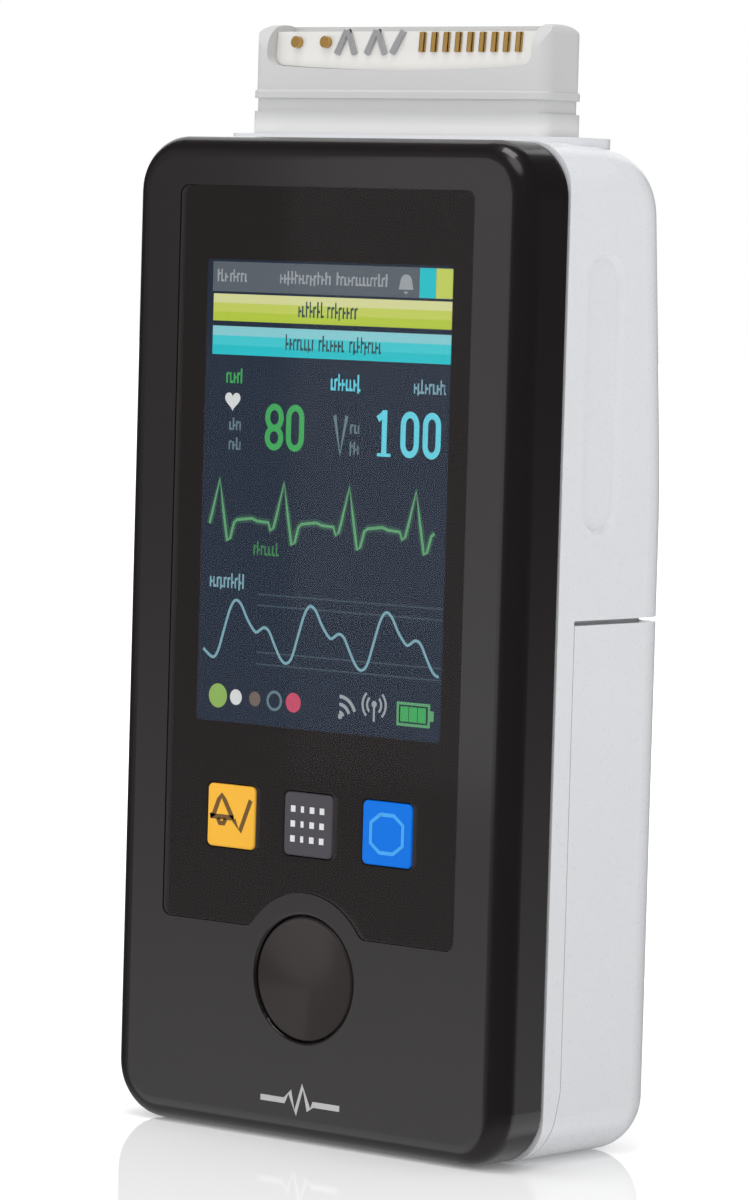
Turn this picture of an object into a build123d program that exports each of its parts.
from build123d import *
import math
import os

# Wearable patient monitor, in millimetres. +Z is up, the display faces -Y and
# the origin is the centre of the footprint, on the surface that it stands on.

# ---- driving dimensions of the case ----
BODY_W = 65.0
BODY_H = 127.0
BODY_D = 32.4
FRONT = -BODY_D / 2
REAR = BODY_D / 2
BEZEL_DEPTH = 8.1
BEZEL_R = 7.2
BEZEL_EDGE_R = 2.9
WALL = 2.0
SEAM = FRONT + BEZEL_DEPTH
GASKET_T = 0.5
REAR_LEAN = 3.0
WAIST_Z = 84.0
WAIST_R = 150.0
BOTTOM_REAR_R = 7.0
TOP_REAR_R = 8.6
HOUSING_FRONT = SEAM + GASKET_T
HOUSING_EDGE_R = 6.0
FACE_T = 3.0
FACE_BACK = FRONT + FACE_T
GRIP_Z = 96.0
GRIP_L = 33.8
GRIP_W = 6.2
GRIP_DEPTH = 0.7
GRIP_FLARE = 40.0

# ---- window, display and keys ----
LENS_HALF_W = 24.2
LENS_Z0 = 26.8
LENS_Z1 = 120.65
LENS_R = 1.2
LENS_ARC_R = 11.0
LENS_BLEND_R = 1.6
LENS_FRONT = FRONT + 0.15
LENS_T = 1.2
MASK_T = 0.15
LENS_BACK = LENS_FRONT + LENS_T
MASK_BACK = LENS_BACK + MASK_T
DISPLAY_HALF_W = 20.0
DISPLAY_Z0 = 52.6
DISPLAY_Z1 = 111.05
LCD_FRONT = LENS_FRONT + 1.95
LCD_T = 1.4
TRAY_T = 1.8
KEY_SIZE = 8.1
KEY_R = 0.8
KEY_X = (-13.0, 0.0, 13.0)
KEY_Z = 40.4
KEY_GAP = 0.2
KEY_FRONT = FRONT + 0.1
KEY_TRAVEL = 0.4
BUTTON_Z = 20.84
BUTTON_HOLE_R = 8.1
BUTTON_R = 7.95
BUTTON_TRAVEL = 0.8

# ---- boards ----
KEYBOARD_FRONT = FRONT + 4.6
FRAME_FRONT = FRONT + 5.6
FRAME_T = 1.2
BOARD_FRONT = FRONT + 8.0
BOARD_T = 1.2
BOARD_BACK = BOARD_FRONT + BOARD_T

# ---- battery bay and door ----
CELL_R = 7.25
CELL_L = 50.5
CELL_PITCH = 14.9
CELL_Y = 5.2
CELL_Z0 = 9.0
BAY_HALF_W = 24.2
BAY_WALL = 1.2
BAY_FRONT = -3.0
BAY_Z0 = 4.0
BAY_Z1 = 64.6
DOOR_T = 1.8
DOOR_STEP = 2.1
SKIN_INSET = 3.5
DOOR_SEAM_Y = -4.4
DOOR_TOE_Y = -7.2
DOOR_TOP = 67.3
DOOR_TOP_GAP = 0.6
SEAM_GAP = 0.15
HINGE_R = 2.0
HINGE_Y = REAR - HINGE_R
HINGE_Z = DOOR_TOP - HINGE_R
PIN_R = 0.8
PIN_BORE_R = 0.85
HOUSING_KNUCKLE = (8.3, 16.0)
DOOR_KNUCKLES = ((-20.3, -16.3), (-8.0, 8.0), (16.3, 20.3))
LATCH_Z = 15.0
LATCH_TRAVEL = 2.0
LATCH_TOP = LATCH_Z + 2.7
LATCH_SPRING_TOP = LATCH_TOP + 4.4
LATCH_SPRING_Y = 13.45
LATCH_SPRING_R = 0.6
LATCH_WIRE_R = 0.12

# ---- cable port on top ----
PORT_HALF_W = 24.4
PORT_Y0 = -3.2
PORT_Y1 = 4.9
PORT_MID_Y = (PORT_Y0 + PORT_Y1) / 2
PORT_Z0 = BODY_H + 0.4
PORT_TOP = 141.8
PORT_LIP_Z = 133.4
PORT_LIP_T = 1.1
PORT_GROOVE_Z = 130.6
PORT_STEP = 0.2
PORT_CROWN_R = 3.4
PORT_TROUGH_HALF_W = 21.85
PORT_TROUGH_Z = 136.3
PORT_TROUGH_BACK = PORT_Y1 - 2.6
PORT_NECK = (19.0, 2.8)
CONTACT_FACE_Y = PORT_Y0 + 1.8
CONTACT_FACE_LEAN = 0.5
CONTACT_X0 = 2.8
CONTACT_PITCH = 1.96
CONTACT_COUNT = 9
CONTACT_Z = 139.5

# ---- fasteners: x, z and the plane their heads seat on ----
UPPER_SCREWS = ((-25.8, 114.5, 9.0), (25.8, 114.5, 9.0))
LOWER_SCREWS = ((-27.3, 10.0, 11.0), (27.3, 10.0, 11.0))
CASE_SCREWS = UPPER_SCREWS + LOWER_SCREWS
SCREW_R = 1.2
SCREW_CLEAR_R = 1.3
SCREW_HEAD_R = 2.3
SCREW_HEAD_T = 1.6
SCREW_TIP = FRONT + 4.4
BOSS_R = 2.5
BOSS_JOINT = SEAM - 1.3
BOARD_SCREWS = ((-22.0, 117.0), (22.0, 117.0), (-22.0, 70.0), (22.0, 70.0))
BOARD_SCREW_R = 0.8

# ---- speaker ----
SPEAKER_Z = 96.0
SPEAKER_R = 9.0
SPEAKER_FRONT = 7.4
SPEAKER_BACK = 12.0
GRILLE_R = 0.6
GRILLE_PITCH = 2.4


def block(x0, x1, y0, y1, z0, z1):
    """A box between two corners."""
    size = (x1 - x0, y1 - y0, z1 - z0)
    centre = ((x0 + x1) / 2, (y0 + y1) / 2, (z0 + z1) / 2)
    return Pos(*centre) * Box(*size)


def front_extrude(sketch, y0, y1):
    """Extrude a sketch drawn in X and Z from depth y0 to depth y1."""
    return extrude(Plane.XZ.offset(-y1) * sketch, y1 - y0)


def side_extrude(sketch, x0, x1):
    """Extrude a sketch drawn in Y and Z from x0 to x1."""
    return extrude(Plane.YZ.offset(x0) * sketch, x1 - x0)


def plate(half_w, z0, z1, radius, y0, y1):
    """An upright plate with rounded corners."""
    outline = Pos(0, (z0 + z1) / 2) * RectangleRounded(2 * half_w, z1 - z0, radius)
    return front_extrude(outline, y0, y1)


def disc(x, z, radius, y0, y1):
    """A round bar along Y."""
    return front_extrude(Pos(x, z) * Circle(radius), y0, y1)


def bar(y, z, radius, x0, x1):
    """A round bar along X."""
    return side_extrude(Pos(y, z) * Circle(radius), x0, x1)


def square(x, z, size, radius, y0, y1):
    """A small square pad along Y."""
    return front_extrude(Pos(x, z) * RectangleRounded(size, size, radius), y0, y1)


def rear_form(inset, front):
    """The rear half of the case as one solid, shrunk by inset, from the plane y = front."""
    back = REAR - inset
    low = inset
    high = BODY_H - inset
    bottom_r = BOTTOM_REAR_R - inset
    top_r = TOP_REAR_R - inset
    with BuildSketch() as profile:
        with BuildLine():
            Polyline(
                (front, high),
                (front, low),
                (back, low),
                (back, WAIST_Z),
                (back - REAR_LEAN, high - 1.4),
                (back - 14.0, high),
                (front, high),
            )
        make_face()
        lower = profile.vertices().sort_by_distance((back, low))[0]
        fillet(lower, bottom_r)
        upper = profile.vertices().sort_by_distance((back - REAR_LEAN, high - 1.4))[0]
        fillet(upper, top_r)
        waist = profile.vertices().sort_by_distance((back, WAIST_Z))[0]
        fillet(waist, WAIST_R)
    half_w = BODY_W / 2 - inset
    solid = side_extrude(profile.sketch, -half_w, half_w)
    rim = [
        edge
        for edge in solid.edges()
        if abs(abs(edge.center().X) - half_w) < 0.01 and edge.center().Y > front + 0.01
    ]
    return fillet(rim, HOUSING_EDGE_R - inset)


def door_zone(gap, top):
    """The region of the case that the battery door covers."""
    seam = DOOR_SEAM_Y + gap
    toe = DOOR_TOE_Y + gap
    beyond = REAR + 10
    outline = Polyline(
        (seam, top), (seam, 9.0), (toe, -1.0), (beyond, -1.0), (beyond, top), (seam, top)
    )
    zone = side_extrude(make_face(outline), -BODY_W, BODY_W)
    bend = [edge for edge in zone.edges().filter_by(Axis.X) if abs(edge.center().Z - 9.0) < 0.01]
    return fillet(bend, 6.0)


def lens_outline(gap):
    """The window's outline in X and Z, grown by gap: an arch clears the round button."""
    sheet = Pos(0, (LENS_Z0 + LENS_Z1) / 2) * RectangleRounded(
        2 * (LENS_HALF_W + gap), LENS_Z1 - LENS_Z0 + 2 * gap, LENS_R + gap
    )
    sheet -= Pos(0, BUTTON_Z) * Circle(LENS_ARC_R - gap)
    corners = [
        v for v in sheet.vertices() if abs(v.Y - (LENS_Z0 - gap)) < 0.01 and abs(v.X) < 14
    ]
    return fillet(corners, LENS_BLEND_R)


def make_front_bezel():
    outline = Pos(0, BODY_H / 2) * RectangleRounded(BODY_W, BODY_H, BEZEL_R)
    shell = front_extrude(outline, FRONT, SEAM)
    shell = fillet(shell.faces().sort_by(Axis.Y)[0].edges(), BEZEL_EDGE_R)
    shell -= plate(
        BODY_W / 2 - WALL, WALL, BODY_H - WALL, BEZEL_R - WALL, FACE_BACK, SEAM + 1
    )
    shell -= front_extrude(lens_outline(0.1), FRONT - 1, MASK_BACK)
    shell -= plate(23.1, 48.8, 113.4, 1.0, FRONT, FACE_BACK + 1)
    for x in KEY_X:
        shell -= square(x, KEY_Z, 10.6, 1.0, FRONT, FACE_BACK + 1)
    shell -= disc(0, BUTTON_Z, BUTTON_HOLE_R, FRONT - 1, FACE_BACK + 1)
    shell -= disc(0, BUTTON_Z, 9.7, FRONT + 2.05, FACE_BACK + 1)
    mouth = [
        edge
        for edge in shell.edges().filter_by(GeomType.CIRCLE)
        if abs(edge.radius - BUTTON_HOLE_R) < 0.01 and abs(edge.center().Y - FRONT) < 0.01
    ]
    shell = fillet(mouth, 0.35)
    for x, z, _ in CASE_SCREWS:
        shell += disc(x, z, BOSS_R, FACE_BACK - 0.5, BOSS_JOINT - 0.1) & plate(
            BODY_W / 2 - 1, 1, BODY_H - 1, BEZEL_R - 1, FRONT, SEAM
        )
        shell -= disc(x, z, SCREW_R + 0.02, SCREW_TIP - 0.3, SEAM)
    return shell


def make_display_window():
    window = front_extrude(lens_outline(0), LENS_FRONT, LENS_BACK)
    for x in KEY_X:
        window -= square(x, KEY_Z, KEY_SIZE + 2 * KEY_GAP, KEY_R, FRONT, LENS_BACK + 1)
    return window


def make_window_mask():
    mask = front_extrude(lens_outline(0), LENS_BACK, MASK_BACK)
    mask -= plate(DISPLAY_HALF_W + 0.3, DISPLAY_Z0 - 0.3, DISPLAY_Z1 + 0.3, 0.5, FRONT, FACE_BACK)
    for x in KEY_X:
        mask -= square(x, KEY_Z, KEY_SIZE + 2 * KEY_GAP, KEY_R, FRONT, FACE_BACK)
    return mask


def make_key(x):
    cap = square(x, KEY_Z, KEY_SIZE, KEY_R, KEY_FRONT, MASK_BACK + 0.1)
    cap = fillet(cap.faces().sort_by(Axis.Y)[0].edges(), 0.3)
    cap += square(x, KEY_Z, 10.0, 1.0, MASK_BACK + 0.05, FRONT + 2.55)
    cap += square(x, KEY_Z, 5.6, 0.8, FRONT + 2.5, KEYBOARD_FRONT - KEY_TRAVEL - 0.05)
    return cap


def make_patient_button():
    dish_r = 36.0
    dish_depth = 0.85
    body = disc(0, BUTTON_Z, BUTTON_R, FRONT + 0.1, FRONT + 2.3)
    body = fillet(body.edges().sort_by(Axis.Y)[0], 0.5)
    body -= Pos(0, FRONT + 0.1 + dish_depth - dish_r, BUTTON_Z) * Sphere(dish_r)
    body += disc(0, BUTTON_Z, 9.3, FRONT + 2.1, FRONT + 2.9)
    body += disc(0, BUTTON_Z, 3.0, FRONT + 2.8, KEYBOARD_FRONT - BUTTON_TRAVEL - 0.05)
    return body


def make_keypad_membrane():
    sheet = plate(22.0, 8.5, 47.2, 2.0, FACE_BACK + 0.1, FACE_BACK + 0.9)
    for x in KEY_X:
        sheet -= square(x, KEY_Z, 6.4, 1.0, FRONT, 0)
    sheet -= disc(0, BUTTON_Z, 9.8, FRONT, 0)
    return sheet


def make_keypad_board():
    board = plate(21.5, 9.0, 46.8, 1.5, KEYBOARD_FRONT, KEYBOARD_FRONT + 0.8)
    board += block(-6.0, 6.0, KEYBOARD_FRONT + 0.2, KEYBOARD_FRONT + 0.5, 46.0, 48.4)
    return board


def make_lcd_panel():
    panel = plate(22.2, 49.6, 112.6, 0.4, LCD_FRONT, LCD_FRONT + LCD_T)
    return panel


def make_backlight_tray():
    back = LCD_FRONT + LCD_T + TRAY_T
    tray = plate(22.7, 49.1, 113.1, 0.5, LCD_FRONT + 0.6, back)
    tray -= plate(22.3, 49.5, 112.7, 0.4, LCD_FRONT, LCD_FRONT + LCD_T)
    for z in (60.0, 81.0, 102.0):
        tray -= block(-30, 30, LCD_FRONT, LCD_FRONT + 1.2, z - 2.5, z + 2.5) - plate(
            22.25, 49.0, 114.0, 0.4, LCD_FRONT - 1, back + 1
        )
    return tray


def make_inner_frame():
    back = FRAME_FRONT + FRAME_T
    frame = plate(29.8, 3.0, 124.0, 4.0, FRAME_FRONT, back)
    frame += plate(24.4, 47.6, 114.6, 1.0, FRAME_FRONT - 2.2, FRAME_FRONT)
    frame -= plate(23.0, 48.8, 113.4, 0.8, FRAME_FRONT - 3.0, FRAME_FRONT)
    frame -= plate(14.0, 56.0, 76.0, 2.0, FRAME_FRONT - 1, back + 1)
    frame -= plate(14.0, 84.0, 106.0, 2.0, FRAME_FRONT - 1, back + 1)
    frame -= plate(12.0, 14.0, 40.0, 2.0, FRAME_FRONT - 1, back + 1)
    frame -= block(-7, 7, FRAME_FRONT - 1, back + 1, 44.5, 50.5)
    for x, z, _ in CASE_SCREWS:
        frame -= disc(x, z, BOSS_R + 0.3, FRAME_FRONT - 3, back + 1)
    for x, z in BOARD_SCREWS:
        frame += disc(x, z, 2.0, back - 0.1, BOARD_FRONT)
        frame -= disc(x, z, BOARD_SCREW_R + 0.02, back - 1.0, BOARD_FRONT + 1)
    return frame


def make_main_board():
    board = plate(28.0, 5.5, 121.0, 2.0, BOARD_FRONT, BOARD_BACK)
    for x, z, _ in CASE_SCREWS:
        board -= disc(x, z, BOSS_R + 0.5, BOARD_FRONT - 1, BOARD_BACK + 1)
    for x, z in BOARD_SCREWS:
        board -= disc(x, z, BOARD_SCREW_R + 0.15, BOARD_FRONT - 1, BOARD_BACK + 1)
    return board


def make_shield(x, z, width, height):
    """A sheet-metal can over part of the main board, with a folded top edge."""
    top = BOARD_BACK + 1.9
    can = plate(width / 2, z - height / 2, z + height / 2, 0.8, BOARD_BACK, top)
    can = fillet(can.faces().sort_by(Axis.Y)[-1].edges(), 0.3)
    can -= plate(width / 2 - 0.25, z - height / 2 + 0.25, z + height / 2 - 0.25, 0.5,
                 BOARD_BACK - 1, top - 0.25)
    return Pos(x, 0, 0) * can


def make_board_chips():
    """Integrated circuits and the flex connectors on the rear of the main board."""
    chips = [
        (-15.0, 60.0, 9.0, 9.0, 1.0),
        (2.0, 58.0, 12.0, 8.0, 1.2),
        (16.0, 60.0, 7.0, 10.0, 1.0),
        (-14.0, 36.0, 12.0, 4.0, 1.6),
        (12.0, 36.0, 16.0, 4.0, 1.6),
        (0.0, 20.0, 18.0, 10.0, 1.4),
    ]
    solids = [
        block(x - w / 2, x + w / 2, BOARD_BACK, BOARD_BACK + t, z - h / 2, z + h / 2)
        for x, z, w, h, t in chips
    ]
    return Compound(children=solids)


def make_speaker():
    basket = disc(0, SPEAKER_Z, SPEAKER_R, SPEAKER_FRONT, SPEAKER_BACK - 0.6)
    basket += disc(0, SPEAKER_Z, SPEAKER_R - 1.0, SPEAKER_BACK - 0.7, SPEAKER_BACK)
    cone = Pos(0, SPEAKER_BACK + 14.0, SPEAKER_Z) * Sphere(16.0)
    return basket - (cone & disc(0, SPEAKER_Z, SPEAKER_R - 2.0, 0, SPEAKER_BACK + 1))


def make_antenna():
    """The folded radio antenna beside the speaker."""
    strip = block(14.0, 27.0, 2.0, 2.6, 82.0, 104.0)
    for step in range(4):
        z = 85.0 + 5.0 * step
        shift = 2.0 if step % 2 else -2.0
        strip -= block(14.0 + 2.0 + shift, 27.0 - 2.0 + shift, 1.0, 4.0, z, z + 1.6)
    strip += block(19.0, 22.0, BOARD_BACK, 2.1, 82.0, 82.6)
    return strip


def grille_points():
    """Centres of the sound holes, in rings around the speaker's axis."""
    points = [(0.0, SPEAKER_Z)]
    for ring in (1, 2):
        for step in range(6 * ring):
            angle = 2 * math.pi * step / (6 * ring)
            radius = GRILLE_PITCH * ring
            points.append((radius * math.cos(angle), SPEAKER_Z + radius * math.sin(angle)))
    return points


def make_rear_housing():
    body = rear_form(0, HOUSING_FRONT)
    body -= door_zone(0, DOOR_TOP + DOOR_TOP_GAP) - rear_form(DOOR_STEP, HOUSING_FRONT - 5)
    upper = rear_form(WALL, HOUSING_FRONT - 5) & block(-40, 40, -20, 20, 70.5, 140)
    lower = rear_form(SKIN_INSET, HOUSING_FRONT - 5) & block(-40, 40, -20, 20, -5, 70.6)
    body -= upper
    body -= lower
    tongue = plate(30.4, 2.1, BODY_H - 2.1, 5.0, SEAM - 1.2, HOUSING_FRONT + 0.5)
    body += tongue - plate(29.0, SKIN_INSET, BODY_H - SKIN_INSET, 3.6, SEAM - 2, HOUSING_FRONT + 1)

    # battery bay: a box open to the rear
    bay = block(
        -BAY_HALF_W - BAY_WALL, BAY_HALF_W + BAY_WALL,
        BAY_FRONT - BAY_WALL, REAR,
        BAY_Z0 - BAY_WALL, BAY_Z1 + BAY_WALL,
    ) & rear_form(DOOR_STEP + 0.3, HOUSING_FRONT)
    body += bay
    body += bar(HINGE_Y, HINGE_Z, HINGE_R + 2.0, -30.4, 30.4) & rear_form(DOOR_STEP, HOUSING_FRONT)
    body -= block(-BAY_HALF_W, BAY_HALF_W, BAY_FRONT, REAR + 5, BAY_Z0, BAY_Z1)

    # keeper rib for the door latch, behind the bay's mouth
    body += block(-5.0, 5.0, 11.0, 12.2, BAY_Z0 - 1.0, BAY_Z0 + 2.0)

    # round trough that the door's upper edge turns in, and the hinge knuckles
    body -= bar(HINGE_Y, HINGE_Z, HINGE_R + 0.3, -31.0, 31.0)
    for low, high in ((-31.0, -26.0), (26.0, 31.0)):
        body -= bar(HINGE_Y, HINGE_Z, HINGE_R + 1.0, low, high)
    x0, x1 = HOUSING_KNUCKLE
    for low, high in ((x0, x1), (-x1, -x0)):
        body += bar(HINGE_Y, HINGE_Z, 1.8, low, high)
        body += block(low, high, HINGE_Y - 1.8, HINGE_Y + 1.5, HINGE_Z, HINGE_Z + 3.4)
    body -= bar(HINGE_Y, HINGE_Z, PIN_BORE_R, -20.8, 20.8)

    # screw bosses, speaker seat and sound holes
    for x, z, seat in CASE_SCREWS:
        column = disc(x, z, BOSS_R, BOSS_JOINT, REAR) & rear_form(1.0, HOUSING_FRONT - 5)
        if z < DOOR_TOP:
            column = column & rear_form(DOOR_STEP + 0.2, HOUSING_FRONT - 5)
        body += column
        body -= disc(x, z, SCREW_CLEAR_R, BOSS_JOINT - 1, REAR + 2)
        body -= disc(x, z, SCREW_HEAD_R + 0.15, seat, REAR + 2)
    seat_ring = disc(0, SPEAKER_Z, SPEAKER_R + 1.3, 9.0, REAR)
    seat_ring -= disc(0, SPEAKER_Z, SPEAKER_R + 0.2, 5, REAR + 2)
    body += seat_ring & rear_form(1.0, HOUSING_FRONT)
    for x, z in grille_points():
        body -= disc(x, z, GRILLE_R, 11.5, REAR + 2)

    # grip recesses on both sides
    grip = Pos(0.1, GRIP_Z) * SlotOverall(GRIP_L, GRIP_W, rotation=90)
    floor = Plane.YZ.offset(BODY_W / 2 - GRIP_DEPTH)
    tool = extrude(floor * grip, GRIP_DEPTH + 0.1, taper=-GRIP_FLARE)
    body -= tool
    body -= mirror(tool, Plane.YZ)

    # collar and opening for the cable port
    collar = Plane.XY.offset(BODY_H - 1.0) * (Pos(0, 1.8) * RectangleRounded(57.0, 12.0, 4.2))
    body += extrude(collar, 1.7) & block(-40, 40, HOUSING_FRONT, 20, 100, 140)
    opening = Plane.XY.offset(110) * (Pos(0, PORT_MID_Y) * RectangleRounded(
        2 * PORT_NECK[0] + 0.4, 2 * PORT_NECK[1] + 0.4, 2.0))
    body -= extrude(opening, 30)
    socket = Plane.XY.offset(BODY_H) * (Pos(0, PORT_MID_Y) * RectangleRounded(
        2 * PORT_HALF_W + 0.3, PORT_Y1 - PORT_Y0 + 0.3, 2.0))
    body -= extrude(socket, 5)
    return body


def make_case_gasket():
    ring = plate(BODY_W / 2 - 0.5, 0.5, BODY_H - 0.5, BEZEL_R - 0.5, SEAM, HOUSING_FRONT)
    return ring - plate(30.5, 2.0, BODY_H - 2.0, 5.0, SEAM - 1, HOUSING_FRONT + 1)


def trough_mouth(gap):
    """Front outline of the port's open trough, shrunk by gap; its lower edge sags."""
    half_w = PORT_TROUGH_HALF_W - gap
    low = PORT_TROUGH_Z + 0.3 + gap
    high = PORT_TOP + 2
    rim = Polyline((-half_w, low), (-half_w, high), (half_w, high), (half_w, low))
    sag = ThreePointArc((half_w, low), (0, low - 0.7), (-half_w, low))
    return fillet(make_face([rim, sag]).vertices().sort_by(Axis.Y)[:2], 1.5)


def port_footprint(grow):
    width = 2 * (PORT_HALF_W + grow)
    depth = PORT_Y1 - PORT_Y0 + 2 * grow
    return Pos(0, PORT_MID_Y) * RectangleRounded(width, depth, 1.6)


def crown(half_w, base, top, radius):
    """A sketch with a flat foot and rounded upper corners."""
    sheet = make_face(Polyline(
        (-half_w, base), (-half_w, top), (half_w, top), (half_w, base), (-half_w, base)
    ))
    return fillet(sheet.vertices().sort_by(Axis.Y)[-2:], radius)


def make_port_block():
    lip_base = PORT_LIP_Z - PORT_LIP_T
    body = extrude(Plane.XY.offset(PORT_Z0) * port_footprint(0), PORT_LIP_Z - PORT_Z0)
    body = fillet(body.faces().sort_by(Axis.Z)[-1].edges(), 0.35)
    body -= extrude(
        Plane.XY.offset(PORT_GROOVE_Z) * (port_footprint(1.0) - port_footprint(-0.3)),
        lip_base - PORT_GROOVE_Z,
    )
    base = PORT_LIP_Z - 0.4
    upper = extrude(Plane.XY.offset(base) * port_footprint(-PORT_STEP), PORT_TOP - base)
    half_w = PORT_HALF_W - PORT_STEP
    half_d = (PORT_Y1 - PORT_Y0) / 2 - PORT_STEP
    side_shape = Pos(PORT_MID_Y, 0) * crown(half_d, base, PORT_TOP, PORT_CROWN_R)
    front_shape = crown(half_w, base, PORT_TOP, 1.5)
    upper = upper & side_extrude(side_shape, -half_w, half_w)
    body += upper & front_extrude(front_shape, PORT_Y0, PORT_Y1)
    body -= front_extrude(trough_mouth(0), PORT_Y0 - 2, PORT_TROUGH_BACK)
    neck = Pos(0, PORT_MID_Y) * RectangleRounded(2 * PORT_NECK[0], 2 * PORT_NECK[1], 1.8)
    body += extrude(Plane.XY.offset(BODY_H - 5.0) * neck, PORT_Z0 - BODY_H + 5.1)
    return body


def contact_face_y(z):
    """Depth of the port insulator's front face at height z; it leans back a little."""
    rise = (z - PORT_TROUGH_Z) / (PORT_TOP - PORT_TROUGH_Z)
    return CONTACT_FACE_Y + CONTACT_FACE_LEAN * rise


def make_port_insulator():
    low = PORT_TROUGH_Z - 1.0
    high = PORT_TOP - 0.9
    back = PORT_TROUGH_BACK - 0.05
    outline = Polyline(
        (contact_face_y(low), low),
        (contact_face_y(high), high),
        (back, high),
        (back, low),
        (contact_face_y(low), low),
    )
    slab = side_extrude(make_face(outline), -PORT_HALF_W, PORT_HALF_W)
    return slab & front_extrude(trough_mouth(0.05), PORT_Y0, PORT_Y1)


def on_contact_face(shape, x, z):
    """Stand a contact, made round the origin with +Z up the face, on the contact face."""
    angle = math.degrees(math.atan2(CONTACT_FACE_LEAN, PORT_TOP - PORT_TROUGH_Z))
    return Pos(x, contact_face_y(z), z) * Rot(-angle, 0, 0) * shape


def make_port_contacts():
    blades = []
    for index in range(CONTACT_COUNT):
        blade = Pos(0, -0.2, 0) * Box(0.95, 0.4, 2.5)
        blade = fillet(blade.edges().filter_by(Axis.Z).sort_by(Axis.Y)[:2], 0.2)
        x = CONTACT_X0 + CONTACT_PITCH * index
        blades.append(on_contact_face(blade, x, CONTACT_Z))
    return Compound(children=blades)


def make_port_pins():
    pins = []
    for x in (-18.1, -13.2):
        pin = Pos(0, -0.35, 0) * Rot(90, 0, 0) * Cylinder(0.75, 0.7)
        pins.append(on_contact_face(pin, x, CONTACT_Z))
    return Compound(children=pins)


def make_port_fingers():
    """Bent shield contacts: two roof shapes and one slanted strip."""
    roof = ((-0.8, 25), (0.8, -25))
    strip = ((0.0, 30),)
    fingers = []
    for x, legs in ((-9.8, roof), (-4.8, roof), (-1.25, strip)):
        bars = [Pos(shift, -0.2, 0) * Rot(0, tilt, 0) * Box(0.75, 0.4, 3.4) for shift, tilt in legs]
        finger = bars[0] if len(bars) == 1 else bars[0] + bars[1]
        fingers.append(on_contact_face(finger, x, CONTACT_Z))
    return Compound(children=fingers)


def make_port_seal():
    ring = RectangleRounded(2 * PORT_HALF_W - 1.0, 7.0, 2.0) - RectangleRounded(
        2 * PORT_NECK[0] + 0.6, 2 * PORT_NECK[1] + 0.3, 2.0
    )
    return extrude(Plane.XY.offset(BODY_H) * (Pos(0, PORT_MID_Y) * ring), PORT_Z0 - BODY_H)


def make_port_board():
    board = block(-18.0, 18.0, -1.6, 3.3, BODY_H - 6.2, BODY_H - 5.0)
    board += block(-9.0, 9.0, BOARD_BACK + 0.6, -1.5, BODY_H - 6.0, BODY_H - 5.7)
    return board


def cell_x(index):
    return (index - 1) * CELL_PITCH


def make_cell(index):
    """A 14.5 x 50.5 mm cylindrical cell; the middle one stands upside down."""
    can = Cylinder(CELL_R, CELL_L - 1.2, align=(Align.CENTER, Align.CENTER, Align.MIN))
    can = fillet(can.edges().filter_by(GeomType.CIRCLE), 0.5)
    nub = Cylinder(2.6, 1.3, align=(Align.CENTER, Align.CENTER, Align.MIN))
    cell = can + Pos(0, 0, CELL_L - 1.3) * fillet(nub.edges().sort_by(Axis.Z)[-1], 0.3)
    if index == 1:
        cell = Pos(0, 0, CELL_L) * Rot(180, 0, 0) * cell
    return Pos(cell_x(index), CELL_Y, CELL_Z0) * cell


def make_battery_tray():
    tray = block(-23.9, 23.9, BAY_FRONT + 0.2, CELL_Y + 1.0, BAY_Z0 + 0.3, BAY_Z1 - 0.3)
    for index in range(3):
        hollow = Cylinder(CELL_R + 0.25, BAY_Z1 - BAY_Z0 - 3.4)
        tray -= Pos(cell_x(index), CELL_Y, (BAY_Z0 + BAY_Z1) / 2) * hollow
    tray -= block(-22.5, 22.5, CELL_Y, CELL_Y + 5, BAY_Z0 + 1.7, BAY_Z1 - 1.7)
    for end in (-1, 1):
        z = (BAY_Z0 + BAY_Z1) / 2 + end * ((BAY_Z1 - BAY_Z0) / 2 - 1.0)
        tray += block(-23.9, 23.9, CELL_Y, CELL_Y + 4.0, z - 0.7, z + 0.7)
    return tray


def make_contact_springs():
    """Conical coils that press on the cells' flat ends."""
    springs = []
    height = 2.2
    for index in range(3):
        path = Helix(pitch=height / 2.5, height=height, radius=3.4, cone_angle=-18)
        wire = sweep((path ^ 0) * Circle(0.25), path, is_frenet=True)
        if index == 1:
            place = Pos(cell_x(index), CELL_Y, BAY_Z1 - 2.35) * Rot(180, 0, 0)
        else:
            place = Pos(cell_x(index), CELL_Y, BAY_Z0 + 2.35)
        springs.append(place * wire)
    return Compound(children=springs)


def make_contact_plates():
    """Flat plates that touch the cells' nubs."""
    plates = []
    for index in range(3):
        z = BAY_Z0 + 1.75 if index == 1 else BAY_Z1 - 1.75
        width = 4.5
        step = 1 if index == 1 else -1
        plates.append(
            block(cell_x(index) - width, cell_x(index) + width, CELL_Y - 4, CELL_Y + 4,
                  min(z, z + 0.3 * step), max(z, z + 0.3 * step))
        )
    return Compound(children=plates)


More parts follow.
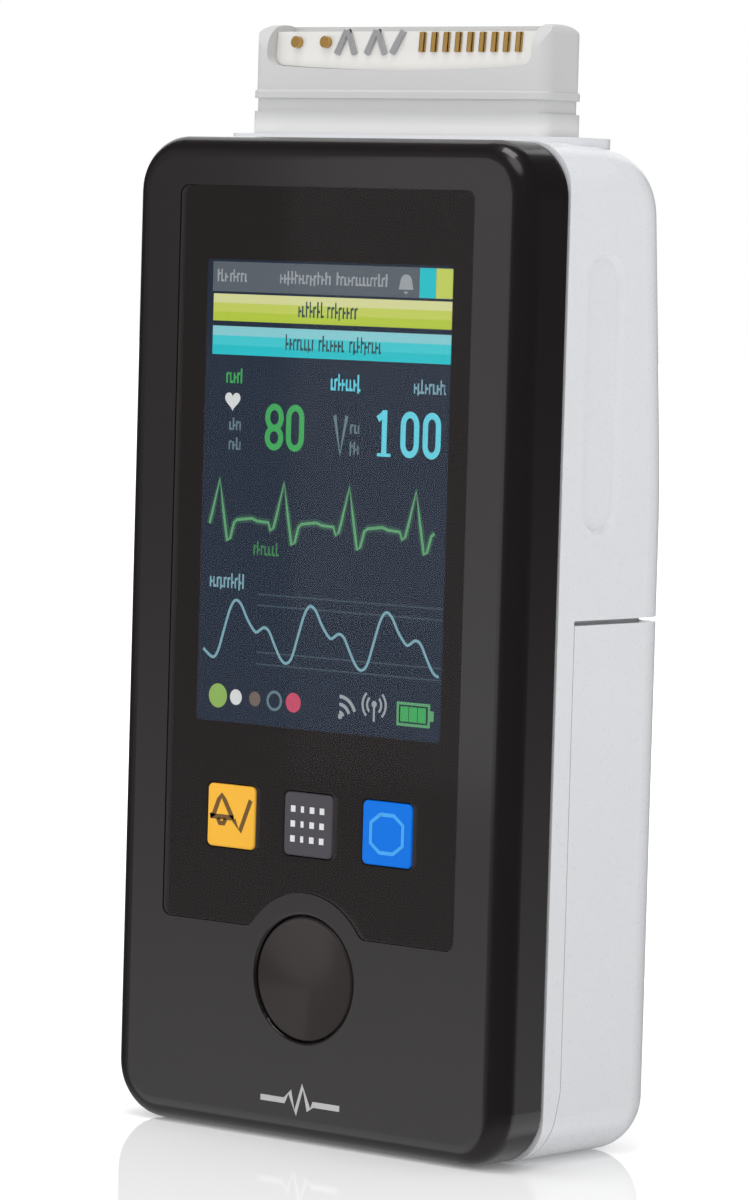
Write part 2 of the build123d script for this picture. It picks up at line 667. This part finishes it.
def make_battery_door():
    skin = rear_form(0, HOUSING_FRONT) - rear_form(DOOR_T, HOUSING_FRONT - 5)
    door = skin & door_zone(SEAM_GAP, DOOR_TOP)
    corner = block(-40, 40, HINGE_Y, REAR + 5, HINGE_Z, DOOR_TOP + 5)
    door -= corner - bar(HINGE_Y, HINGE_Z, HINGE_R, -40, 40)
    for x0, x1 in DOOR_KNUCKLES:
        door += bar(HINGE_Y, HINGE_Z, HINGE_R, x0, x1)
    door -= bar(HINGE_Y, HINGE_Z, PIN_BORE_R, -20.8, 20.8)
    k0, k1 = HOUSING_KNUCKLE
    for low, high in ((k0, k1), (-k1, -k0)):
        reach = HINGE_R + 0.3
        door -= block(low - 0.3, high + 0.3, HINGE_Y - reach, REAR + 1, HINGE_Z - reach, DOOR_TOP + 1)

    # latch window with a shallow surround
    door -= plate(7.2, LATCH_Z - 4.0, LATCH_Z + 4.0 + LATCH_TRAVEL, 1.5, REAR - 0.8, REAR + 2)
    door -= plate(4.0, LATCH_Z - 3.0, LATCH_Z + 3.0 + LATCH_TRAVEL, 0.8, REAR - 5, REAR + 2)
    door += block(-1.5, 1.5, 12.8, REAR - 1.0, LATCH_SPRING_TOP, LATCH_SPRING_TOP + 0.8)
    return door


def make_latch_spring():
    """The coil that pushes the latch down, between the latch and a tab on the door."""
    low = LATCH_TOP + LATCH_WIRE_R + 0.03
    height = LATCH_SPRING_TOP - low - LATCH_WIRE_R - 0.03
    path = Helix(pitch=height / 7, height=height, radius=LATCH_SPRING_R)
    wire = sweep((path ^ 0) * Circle(LATCH_WIRE_R), path, is_frenet=True)
    return Pos(0, LATCH_SPRING_Y, low) * wire


def make_door_latch():
    pad = plate(6.6, LATCH_Z - 3.6, LATCH_Z + 3.6, 1.2, REAR - 0.7, REAR - 0.05)
    for row in range(4):
        z = LATCH_Z - 2.1 + 1.4 * row
        pad -= bar(REAR + 0.15, z, 0.45, -4.5, 4.5)
    latch = pad + plate(3.7, LATCH_Z - 2.7, LATCH_TOP, 0.6, REAR - DOOR_T - 0.25, REAR - 0.6)
    latch += plate(4.8, BAY_Z0 + 2.4, LATCH_TOP, 0.6, REAR - DOOR_T - 1.1, REAR - DOOR_T - 0.15)
    latch += block(-3.8, 3.8, 9.8, REAR - DOOR_T - 0.6, BAY_Z0 + 2.4, BAY_Z0 + 3.4)
    latch += block(-3.8, 3.8, 9.8, 10.7, BAY_Z0 + 1.2, BAY_Z0 + 3.0)
    return latch


def make_hinge_pin():
    pin = bar(HINGE_Y, HINGE_Z, PIN_R, -20.0, 20.0)
    return chamfer(pin.edges().filter_by(GeomType.CIRCLE), 0.2)


def make_case_screws():
    screws = []
    for x, z, seat in CASE_SCREWS:
        top = seat + SCREW_HEAD_T
        screw = disc(x, z, SCREW_HEAD_R, seat, top)
        screw = fillet(screw.edges().sort_by(Axis.Y)[-1], 0.4)
        screw += disc(x, z, SCREW_R, SCREW_TIP, seat + 0.1)
        socket = Pos(x, z) * RegularPolygon(1.2, 6)
        screws.append(screw - front_extrude(socket, top - 0.9, top + 1))
    return Compound(children=screws)


def make_board_screws():
    screws = []
    for x, z in BOARD_SCREWS:
        screw = disc(x, z, 1.6, BOARD_BACK, BOARD_BACK + 0.9)
        screw += disc(x, z, BOARD_SCREW_R, FRAME_FRONT + FRAME_T - 0.9, BOARD_BACK + 0.1)
        screws.append(screw - block(x - 1.1, x + 1.1, BOARD_BACK + 0.5, 0, z - 0.2, z + 0.2))
    return Compound(children=screws)


PARTS = {
    "front_bezel": make_front_bezel(),
    "display_window": make_display_window(),
    "window_mask": make_window_mask(),
    "lcd_panel": make_lcd_panel(),
    "backlight_tray": make_backlight_tray(),
    "alarm_key": make_key(KEY_X[0]),
    "menu_key": make_key(KEY_X[1]),
    "main_key": make_key(KEY_X[2]),
    "patient_button": make_patient_button(),
    "keypad_membrane": make_keypad_membrane(),
    "keypad_board": make_keypad_board(),
    "inner_frame": make_inner_frame(),
    "main_board": make_main_board(),
    "radio_shield": make_shield(13.0, 99.0, 18.0, 22.0),
    "processor_shield": make_shield(-11.0, 95.0, 22.0, 26.0),
    "board_chips": make_board_chips(),
    "speaker": make_speaker(),
    "antenna": make_antenna(),
    "rear_housing": make_rear_housing(),
    "case_gasket": make_case_gasket(),
    "port_block": make_port_block(),
    "port_insulator": make_port_insulator(),
    "port_contacts": make_port_contacts(),
    "port_pins": make_port_pins(),
    "port_fingers": make_port_fingers(),
    "port_seal": make_port_seal(),
    "port_board": make_port_board(),
    "battery_tray": make_battery_tray(),
    "contact_springs": make_contact_springs(),
    "contact_plates": make_contact_plates(),
    "battery_door": make_battery_door(),
    "door_latch": make_door_latch(),
    "latch_spring": make_latch_spring(),
    "hinge_pin": make_hinge_pin(),
    "case_screws": make_case_screws(),
    "board_screws": make_board_screws(),
}
for number in range(3):
    PARTS[f"cell_{number + 1}"] = make_cell(number)

os.makedirs("parts", exist_ok=True)
for node, shape in PARTS.items():
    export_step(shape, f"parts/{node}.step")
